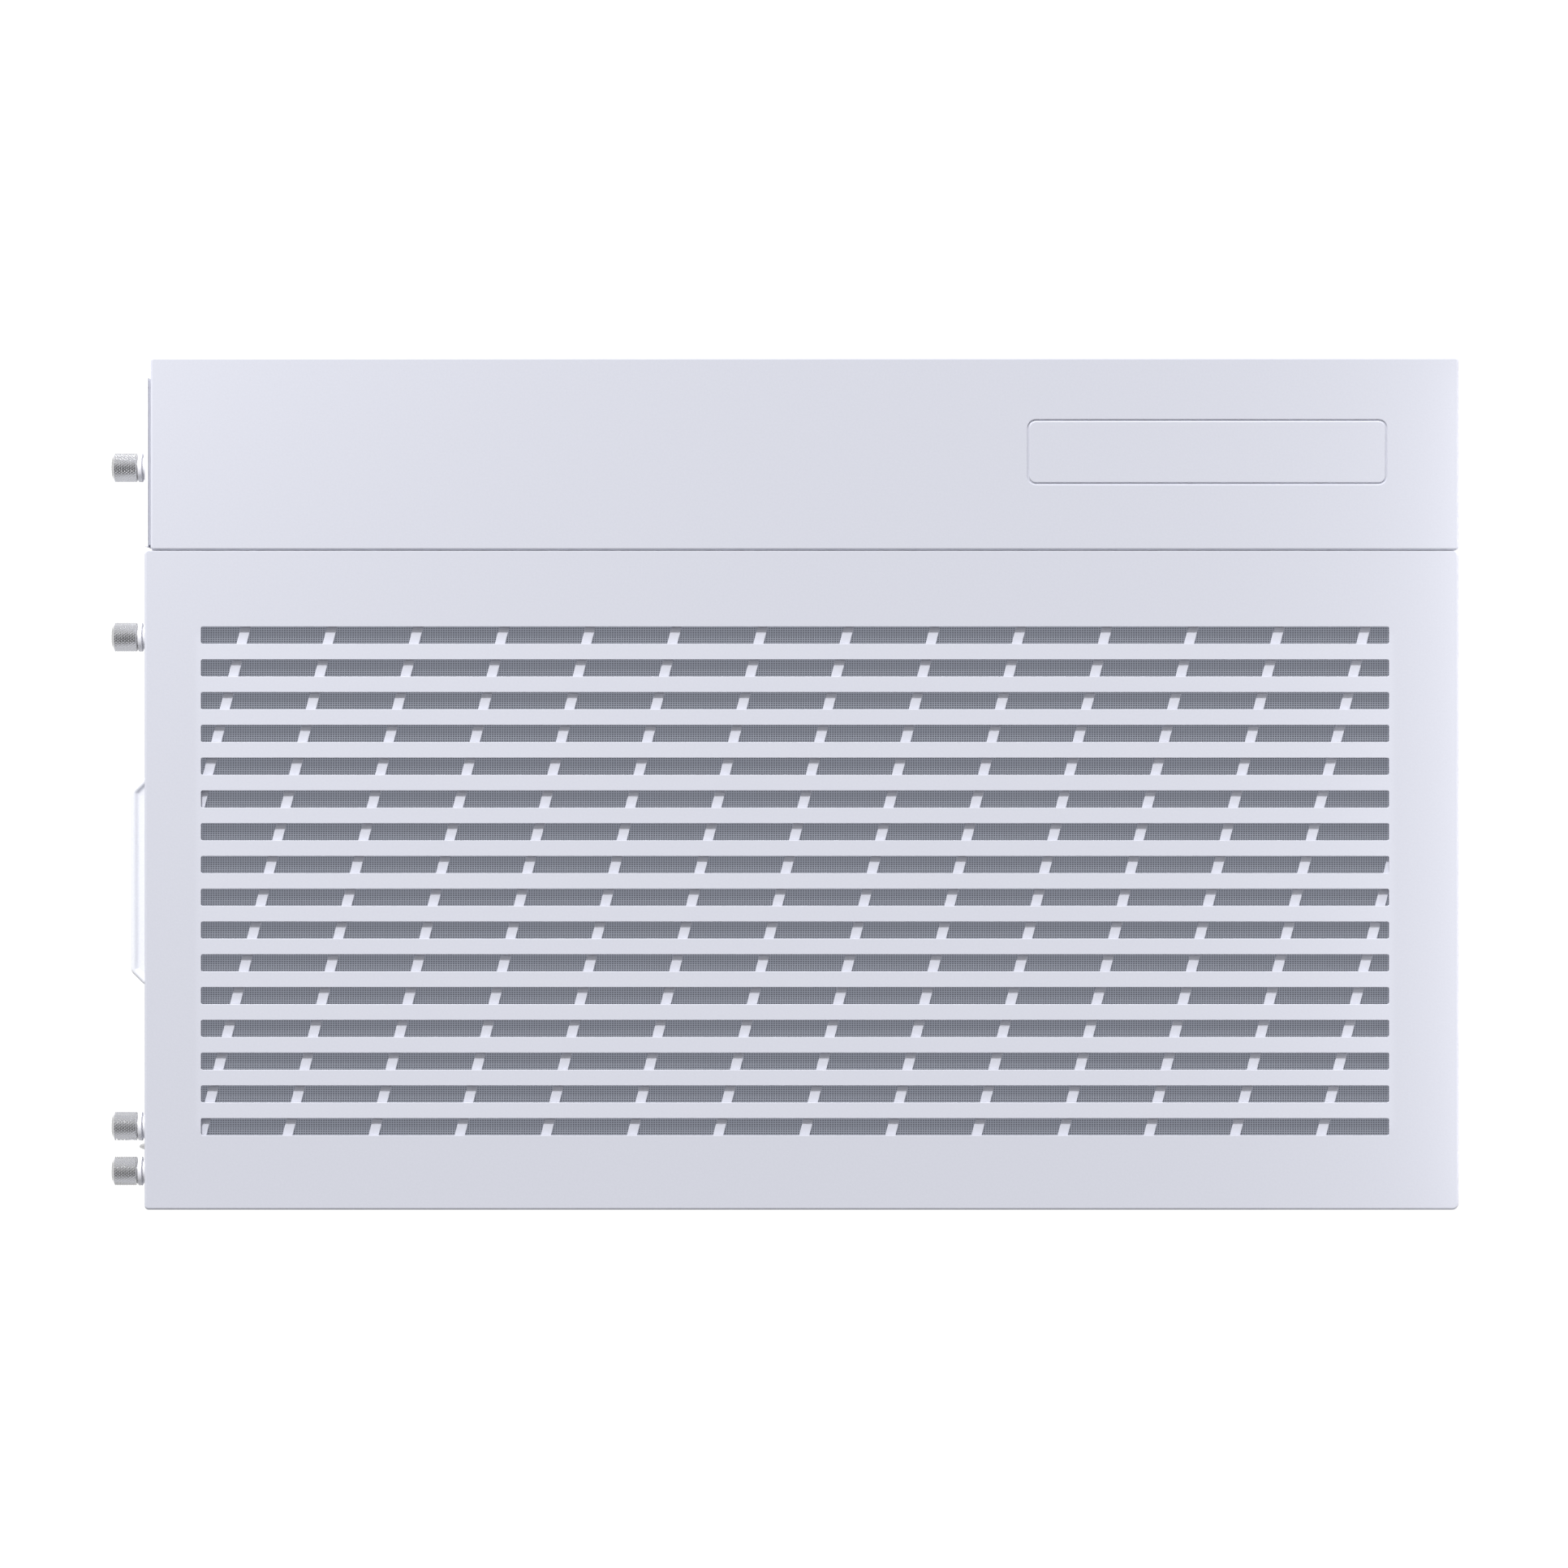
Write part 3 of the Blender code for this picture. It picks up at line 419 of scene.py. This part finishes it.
def make_pull_tab():
    """The finger tab: a tray with a soft raised rim and cut corners."""
    x = (-0.2315, FLANGE_X + 0.0008)
    y = (-0.0711, 0.0021)
    low, top = 0.4494, 0.4525
    cut = 0.0046
    outline = Outline([(x[1], y[0]), (x[1], y[1]), (x[0] + cut, y[1]), (x[0], y[1] - cut),
                       (x[0], y[0] + cut), (x[0] + cut, y[0])],
                      [0.0001, 0.0001, 0.0020, 0.0030, 0.0030, 0.0020],
                      follow=[0, 1, 1, 1, 1, 1])
    solid = Solid()
    profile = [(0.0004, low, 180), (0.0, low + 0.0004, 90)]
    profile += reversed(rounding(0.0010, top, 5))
    profile += [(0.0014, top - 0.0001, -20), (0.0019, top - 0.0006, -45),
                (0.0024, top - 0.0010, -30), (0.0030, top - 0.0011, 0)]
    bottom, floor = solid.loft(outline, profile)
    solid.cap([floor], (0, 0, 1))
    solid.cap([bottom], (0, 0, -1))
    tab = belong(solid.make("top_panel_pull_tab"), "white_steel", "top_panel")
    # The tab is the panel's own steel; its lighter paint is painted light, not a different coat.
    tab.data.materials[0] = surface("tab_painted_light", (0.82, 0.83, 0.87), (0.86, 0.87, 0.91), 0.42,
                                    grain=1400.0, bump=0.00001)


def clipped(corners, side, limit):
    """A convex polygon cut off at x = limit; side is 1 to keep what is below it."""
    kept = []
    for here, there in zip(corners, corners[1:] + corners[:1]):
        if side * (here[0] - limit) <= 0:
            kept.append(here)
        if (here[0] - limit) * (there[0] - limit) < 0:
            share = (limit - here[0]) / (there[0] - here[0])
            kept.append((limit, here[1] + share * (there[1] - here[1])))
    return kept


def make_rib_grille():
    """The slanted ribs that lie crosswise under the slots."""
    pitch, width, lean = 0.030325, 0.00359, math.tan(math.radians(14.42))
    middle = Vector((0.01463, -0.0343))
    window_x, y = grown(FILTER_X, -0.0020), grown(FILTER_Y, -0.0015)
    openings = []
    half_count = 8
    for gap in range(-half_count, half_count + 1):
        x = middle.x + gap * pitch
        reach = (pitch - width) / 2
        corners = [(x + side * reach + (end - middle.y) * lean, end)
                   for side, end in ((-1, y[0]), (1, y[0]), (1, y[1]), (-1, y[1]))]
        corners = clipped(clipped(corners, 1, window_x[1]), -1, window_x[0])
        openings.append(Outline(corners, 0.0003, steps=2))
    outline = rectangle(grown(FILTER_X, 0.0010), grown(FILTER_Y, 0.0010), 0.0010)
    plate("rib_grille", outline, RIB_Z, 0.00015, "white_rib", "top_panel",
          ["slanted_rib_grille"], openings)


# ---------------------------------------------------------------- woven filters

def woven(name, x, y, z, pitches, thick, body, node):
    """Two crossed layers of straight threads with a six-sided section."""
    lift = thick * 0.32
    points, faces = [], []
    turns = np.arange(6) * math.pi / 3
    section = np.stack([np.cos(turns), np.sin(turns)], 1) * thick / 2
    for along, across, pitch, height in ((0, 1, pitches[1], z - lift),
                                         (1, 0, pitches[0], z + lift)):
        ends = (x, y)[along]
        low, high = (x, y)[across]
        count = int((high - low) / pitch)
        places = (low + high) / 2 + (np.arange(count) - (count - 1) / 2) * pitch
        block = np.zeros((count, 2, 6, 3))
        block[..., along] = np.array(ends)[None, :, None]
        block[..., across] = places[:, None, None] + section[None, None, :, 0]
        block[..., 2] = height + section[None, None, :, 1]
        first = sum(len(part) for part in points)
        points.append(block.reshape(-1, 3))
        for thread in range(count):
            start = first + thread * 12
            faces += [[start + k, start + (k + 1) % 6, start + 6 + (k + 1) % 6, start + 6 + k]
                      for k in range(6)]
            faces += [[start + k for k in range(5, -1, -1)], [start + 6 + k for k in range(6)]]
    mesh = bpy.data.meshes.new(name)
    mesh.from_pydata(np.concatenate(points).tolist(), [], faces)
    sort_normals(mesh)
    mesh.polygons.foreach_set("use_smooth", [True] * len(mesh.polygons))
    mesh.set_sharp_from_angle(angle=math.radians(70))
    belong(show(name, mesh), "filter_mesh", body, node)


def sort_normals(mesh):
    """Turn every face outwards."""
    bm = bmesh.new()
    bm.from_mesh(mesh)
    bmesh.ops.recalc_face_normals(bm, faces=bm.faces)
    bm.to_mesh(mesh)
    bm.free()


def make_filter_shade_sheet():
    """A dark sheet under the top filter's threads, dark and even: painted shade for the dark
    seen through the mesh, kept even by a painted glow.
    """
    outline = rectangle(FILTER_X, FILTER_Y, 0.0010)
    shade_sheet = plate("top_filter_shade_sheet", outline, SHADE_SHEET_Z, 0.0001, "filter_mesh",
                   "top_panel", ["top_filter_mesh"])
    # Painted shade with a painted glow: the sheet's dark colour and even light stand in for what
    # is seen through the holes.
    shade_sheet.data.materials[0] = surface("shade_sheet", (0.028, 0.030, 0.034), (0.042, 0.044, 0.050),
                                       0.85, grain=3000.0, glow=(0.088, 0.093, 0.112))


# ---------------------------------------------------------------- side cover and blank

BLANK_X = (0.08585, 0.21120)
BLANK_Y = (0.1058, 0.1275)


def make_side_cover():
    """The side chamber's top cover and the blank set flush in it."""
    gap = 0.0006
    hole = rectangle(grown(BLANK_X, gap), grown(BLANK_Y, gap), 0.0030, steps=8)
    outline = rectangle((COVER_REAR_X, FRONT_X), (SIDE_START_Y, HALF_Y), 0.0013, steps=5,
                        follow=[0.9, 0.85, 0.9, 0.9])
    cover = folded_cover("side_cover_sheet", outline, LIP_Z, 0.0010, [hole], 0.00025)
    belong(cover, "white_steel", "frame", "side_top_cover")
    solid = Solid()
    blank = rectangle(BLANK_X, BLANK_Y, 0.0024, steps=8)
    ledge, ledge_z, under_z = -0.00064, 0.46455, 0.4636
    profile = rounding(0.0004, TOP_Z, 4)
    profile += [(0.0, ledge_z, 90, 0), (ledge, ledge_z, 0, 90), (ledge, under_z, 90, 180)]
    top, bottom = solid.loft(blank, profile)
    solid.cap([top], (0, 0, 1))
    solid.cap([bottom], (0, 0, -1))
    belong(solid.make("cover_blank"), "white_steel", "frame", "top_blank_plate")


# ---------------------------------------------------------------- supply plate's upper edge

def make_backplate_lip():
    """The supply plate's folded upper edge, behind the cover."""
    edge_z, lip_z = (0.4628, 0.46315), (0.4610, 0.4623)
    edge = rectangle((-0.2254, -0.2242), (0.0834, 0.1429), 0.0002)
    lip = rectangle((-0.22415, -0.2235), (0.0840, 0.1423), 0.0002)
    # The edge is the plate's own steel; the lighter collar finish on it is a painted highlight.
    plate("psu_plate_edge", edge, edge_z, 0.0001, "white_collar", "psu_carrier",
          ["psu_backplate"])
    plate("psu_plate_lip", lip, lip_z, 0.0002, "white_steel", "psu_carrier", ["psu_backplate"])


# ---------------------------------------------------------------- thumbscrews

KNURLS = 30
KNURL_PITCH = 0.00125
KNURL_DEPTH = 0.00040


def knurled_head(solid, radius, low, high):
    """Rows of small pyramids round a cylinder between two heights; returns its end rings."""
    step = math.pi / KNURLS
    rows = round((high - low) / (KNURL_PITCH / 2))
    rise = (high - low) / rows

    def spot(turn, height, out):
        return (out * math.cos(turn * step), out * math.sin(turn * step), height)

    valley = radius - KNURL_DEPTH
    grid = []
    for row in range(rows + 1):
        ring = [spot(turn, low + row * rise, valley if (turn + row) % 2 == 0 else radius)
                for turn in range(2 * KNURLS)]
        grid.append(solid.ring(ring))
    for row in range(rows + 1):
        for turn in range(2 * KNURLS):
            if (turn + row) % 2 == 0:
                continue
            beside = [(row, turn - 1), (row - 1, turn), (row, turn + 1), (row + 1, turn)]
            crest = Vector(solid.points[grid[row][turn]])
            for (row_a, turn_a), (row_b, turn_b) in zip(beside, beside[1:] + beside[:1]):
                if not (0 <= row_a <= rows and 0 <= row_b <= rows):
                    continue
                corners = [grid[row][turn], grid[row_a][turn_a % (2 * KNURLS)],
                           grid[row_b][turn_b % (2 * KNURLS)]]
                a, b = (Vector(solid.points[i]) for i in corners[1:])
                normal = (a - crest).cross(b - crest).normalized()
                if normal.dot(Vector((crest.x, crest.y, 0))) < 0:
                    normal = -normal
                solid.face(corners, [normal] * 3)
    return grid[0], grid[-1]


def round_band(solid, ring, radius, height, tilt):
    """Join a ring round the axis to a new ring of one radius."""
    turns = [2 * math.pi * i / len(ring) for i in range(len(ring))]
    new = solid.ring([(radius * math.cos(t), radius * math.sin(t), height) for t in turns])
    lean = math.radians(tilt)
    normals = [Vector((math.cos(t) * math.sin(lean), math.sin(t) * math.sin(lean),
                       math.cos(lean))) for t in turns]
    for i in range(len(ring)):
        j = (i + 1) % len(ring)
        solid.face([ring[i], ring[j], new[j], new[i]],
                   [normals[i], normals[j], normals[j], normals[i]])
    return new


def cross_corners(reach, half):
    """Corners of a cross recess, anticlockwise."""
    quarter = [(reach, -half), (reach, half), (half, half)]
    corners = []
    for turn in range(4):
        c, s = math.cos(turn * math.pi / 2), math.sin(turn * math.pi / 2)
        corners += [(x * c - y * s, x * s + y * c) for x, y in quarter]
    return corners


def cap_with_cross(solid, ring, length):
    """Close the head's end with a flat face that has a cross recess in it."""
    depth, taper = 0.0016, 0.72
    corners = cross_corners(0.0024, 0.00045)
    mouth = solid.ring([(a, b, length) for a, b in corners])
    well = solid.ring([(a * taper, b * taper, length - depth) for a, b in corners])
    for i in range(len(corners)):
        j = (i + 1) % len(corners)
        edge = Vector(corners[j]) - Vector(corners[i])
        inward = Vector((-edge.y, edge.x, 0)).normalized()
        solid.face([mouth[i], mouth[j], well[j], well[i]], [inward] * 4)
    solid.cap([ring, mouth], (0, 0, 1))
    solid.cap([well], (0, 0, 1))


def threaded_end(solid, ring, foot):
    """The neck under the head, a thread of plain rings, and a flat end."""
    neck, crest, root, tip = 0.0028, 0.0017, 0.00142, 0.0013
    first, pitch, threads, last = -0.0013, 0.0005, 16, -0.0097
    ring = round_band(solid, ring, neck, foot, 180)
    ring = round_band(solid, ring, neck, -0.0006, 90)
    ring = round_band(solid, ring, crest, -0.0010, 150)
    for thread in range(threads):
        height = first - thread * pitch
        ring = round_band(solid, ring, crest, height, 60)
        ring = round_band(solid, ring, root, height - pitch / 2, 120)
    ring = round_band(solid, ring, tip, last, 90)
    solid.cap([ring], (0, 0, -1))


def seated(y, z):
    """Where a screw is: its seat on the rear face and its axis pointing rearwards."""
    return Matrix.Translation((SCREW_SEAT_X, y, z)) @ Matrix.Rotation(-math.pi / 2, 4, "Y")


def make_thumbscrew(node, y, z):
    """A captive thumbscrew: knurled head with a cross recess, neck and threaded end."""
    solid = Solid()
    length, foot = SCREW_SEAT_X - SCREW_HEAD_X, SCREW_SEAT_X - SCREW_BASE_X
    low, high = knurled_head(solid, SCREW_RADIUS, foot + 0.0004, length - 0.0010)
    ring = round_band(solid, high, SCREW_RADIUS - 0.00045, length - 0.00085, 60)
    ring = round_band(solid, ring, SCREW_RADIUS - 0.0011, length - 0.00015, 42)
    ring = round_band(solid, ring, SCREW_RADIUS - 0.0014, length, 10)
    cap_with_cross(solid, ring, length)
    ring = round_band(solid, low, SCREW_RADIUS - 0.00045, foot + 0.00025, 120)
    ring = round_band(solid, ring, SCREW_RADIUS - 0.0007, foot, 150)
    threaded_end(solid, ring, foot)
    belong(solid.make(f"{node}_knurled", seated(y, z)), "knurled_steel", BODY_OF[node], node)


def make_collar(node, y, z):
    """The screw's white collar, with a groove round it."""
    solid = Solid()
    length, radius, bush, groove, bore = 0.0036, SCREW_RADIUS, 0.0044, 0.0036, 0.0032
    profile = [(bore, length, 0), (radius - 0.0002, length, 0), (radius, length - 0.0002, 90),
               (radius, 0.0023, 90), (radius - 0.0002, 0.0021, 180), (groove, 0.0021, 180),
               (groove, 0.0016, 90), (bush, 0.0016, 0), (bush, 0.0, 90), (bore, 0.0, 180),
               (bore, length, -90)]
    count = 64
    turns = [2 * math.pi * i / count for i in range(count)]
    ring = solid.ring([(bore * math.cos(t), bore * math.sin(t), length) for t in turns])
    for out, height, tilt in profile[1:]:
        ring = round_band(solid, ring, out, height, tilt)
    belong(solid.make(f"{node}_ring", seated(y, z)), "white_collar", BODY_OF[node], node)


# Where each screw sits: y and z.
SCREWS = {"top_thumbscrew_1": (0.05195, 0.4465), "top_thumbscrew_2": (-0.12156, 0.4465),
          "left_thumbscrew_1": (-0.1375, 0.4465), "left_thumbscrew_2": (-0.1375, 0.045),
          "psu_thumbscrew_1": (0.11204, 0.4465), "psu_thumbscrew_2": (0.11204, 0.040)}


# ---------------------------------------------------------------- the other pieces

def refined(node, finish):
    """A copy of a CAD node with rounded edges and its finish.

    The base pan keeps its triangles: once they are merged and bevelled, it is drawn over
    part of its own opening.
    """
    radius, sharp = 0.0003, math.radians(32)
    bm = bmesh.new()
    bm.from_mesh(frame["nodes"][node].data)
    bmesh.ops.remove_doubles(bm, verts=bm.verts, dist=0.000002)
    if node != "base_pan":
        bmesh.ops.dissolve_limit(bm, angle_limit=math.radians(1), verts=bm.verts,
                                 edges=bm.edges)
    mesh = bpy.data.meshes.new(f"{node}_look")
    bm.to_mesh(mesh)
    bm.free()
    mesh.polygons.foreach_set("use_smooth", [True] * len(mesh.polygons))
    mesh.set_sharp_from_angle(angle=sharp)
    thing = show(f"{node}_look", mesh)
    soft = thing.modifiers.new("edges", "BEVEL")
    soft.width = radius
    soft.segments = 2
    soft.limit_method = "ANGLE"
    soft.angle_limit = sharp
    soft.harden_normals = True
    belong(thing, finish, BODY_OF[node], node)


def numbered(name, count):
    """Names of nodes that differ by their number."""
    return [f"{name}_{number}" for number in range(1, count + 1)]


REFINED = {
    "white_steel": ["base_pan", "rear_wall", "motherboard_tray", "side_fan_bracket",
                    "top_bracket", "front_left_post", *numbered("slot_cover", 7),
                    "slot_cover_clamp", "side_front_column", "left_panel_rail",
                    "psu_backplate", "right_side_panel", "io_panel"],
    "clear_glass": ["front_glass", "left_glass"],
    "filter_frame": ["top_filter_frame"],
    "black_plastic": ["psu_cradle", *numbered("foot", 4), "bottom_filter_frame", "audio_jack"],
    "rubber": [*numbered("grommet", 2), *numbered("foot_pad", 4)],
    "port_metal": [*numbered("usb_a_port", 2), "usb_c_port"],
    "stud_steel": ["rear_stud"],
    "button_white": ["power_button", "reset_button"],
    "circuit_board": ["io_board"],
}


# ---------------------------------------------------------------- stage, light and camera

def make_floor():
    """A floor that its own light makes white, except under the case.

    Its paint is dark, so that the lamps add little to that light. The dark patch under
    the case is set by position. It isn't a cast shadow.
    """
    mesh = bpy.data.meshes.new("floor")
    half = 30.0
    mesh.from_pydata([(-half, -half, 0), (half, -half, 0), (half, half, 0), (-half, half, 0)],
                     [], [(0, 1, 2, 3)])
    floor = show("floor", mesh)
    floor.location.z = -0.0001
    material = surface("paper", (0.08, 0.08, 0.08), (0.10, 0.10, 0.10), 0.9, grain=4.0)
    nodes, links = material.node_tree.nodes, material.node_tree.links
    shader = nodes["Principled BSDF"]
    middle, case, table = (0, 0, 0), (0.22, 0.14, 0), (0.37, 0.37, 0)
    # near paints the shadow under the case; far is a painted pool of light, dimming the floor's
    # glow away from the case.
    near = around(nodes, links, middle, case, 0.042, (0.02, 0.99))
    far = around(nodes, links, middle, table, 0.7, (1.0, 0.56))
    glow = nodes.new("ShaderNodeMath")
    glow.operation = "MULTIPLY"
    links.new(near, glow.inputs[0])
    links.new(far, glow.inputs[1])
    shader.inputs["Emission Color"].default_value = (1.0, 1.0, 1.0, 1.0)
    links.new(glow.outputs["Value"], shader.inputs["Emission Strength"])
    mesh.materials.append(material)


def area_light(name, at, towards, size, power):
    """A white rectangular softbox."""
    data = bpy.data.lights.new(name, "AREA")
    data.shape = "RECTANGLE"
    data.size, data.size_y = size
    data.energy = power
    lamp = show(name, data)
    lamp.location = at
    lamp.rotation_euler = (Vector(towards) - Vector(at)).to_track_quat("-Z", "Y").to_euler()
    lamp.visible_camera = False


def make_world():
    """A soft white room with a dark patch overhead, towards the glass side."""
    world = bpy.data.worlds.new("room")
    bpy.context.scene.world = world
    world.use_nodes = True
    nodes, links = world.node_tree.nodes, world.node_tree.links
    place = nodes.new("ShaderNodeTexCoord")
    near = nodes.new("ShaderNodeVectorMath")
    near.operation = "DOT_PRODUCT"
    near.inputs[1].default_value = Vector((0.1, -0.5, 0.86)).normalized()
    ramp = nodes.new("ShaderNodeValToRGB")
    links.new(place.outputs["Generated"], near.inputs[0])
    links.new(near.outputs["Value"], ramp.inputs["Fac"])
    stops = ramp.color_ramp.elements
    stops[0].position, stops[0].color = 0.0, (0.98, 0.98, 0.98, 1.0)
    stops[1].position, stops[1].color = 1.0, (0.06, 0.06, 0.062, 1.0)
    for position, level in ((0.55, 0.82), (0.80, 0.45), (0.92, 0.12)):
        stop = stops.new(position)
        stop.color = (level, level, level * 1.01, 1.0)
    links.new(ramp.outputs["Color"], nodes["Background"].inputs["Color"])
    nodes["Background"].inputs["Strength"].default_value = 0.71


def make_camera():
    """A long lens looking straight down on the case."""
    data = bpy.data.cameras.new("camera")
    camera = show("camera", data)
    distance, width_seen, sensor = 2.1, 0.55159, 36.0
    data.sensor_width = sensor
    data.lens = sensor * distance / width_seen
    data.clip_end = 100.0
    camera.location = (-0.00037, -0.00014, TOP_Z + distance)
    bpy.context.scene.camera = camera


make_vent_panel()
make_pull_tab()
make_rib_grille()
woven("top_filter_weave", FILTER_X, FILTER_Y, WEAVE_Z, (0.000862, 0.000777), 0.00032,
      "top_panel", "top_filter_mesh")
woven("bottom_filter_weave", (-0.1775, 0.1775), (-0.1125, 0.0125), 0.0146,
      (0.000861, 0.000776), 0.00034, "bottom_filter", "bottom_filter_mesh")
make_filter_shade_sheet()
make_side_cover()
make_backplate_lip()
for screw, place in SCREWS.items():
    make_thumbscrew(screw, *place)
    make_collar(f"{screw}_collar", *place)
for finish, names in REFINED.items():
    for node in names:
        refined(node, finish)

make_floor()
make_world()
area_light("key_light", (-1.2, 6.8, 5.54), (0, 0, 0.46), (0.9, 0.9), 722.0)
area_light("rear_light", (-0.45, 0.35, 0.62), (-0.15, 0.07, 0.46), (0.12, 0.12), 0.52)
area_light("front_card", (0.33, 0.0, 0.515), (0.2, 0, 0.46), (0.5, 0.02), 0.122)
area_light("edge_card", (0.252, 0.0, 0.470), (0.235, 0, 0.465), (0.3, 0.003), 0.011)
make_camera()
bpy.context.scene.view_settings.view_transform = "Standard"

bpy.context.view_layer.update()
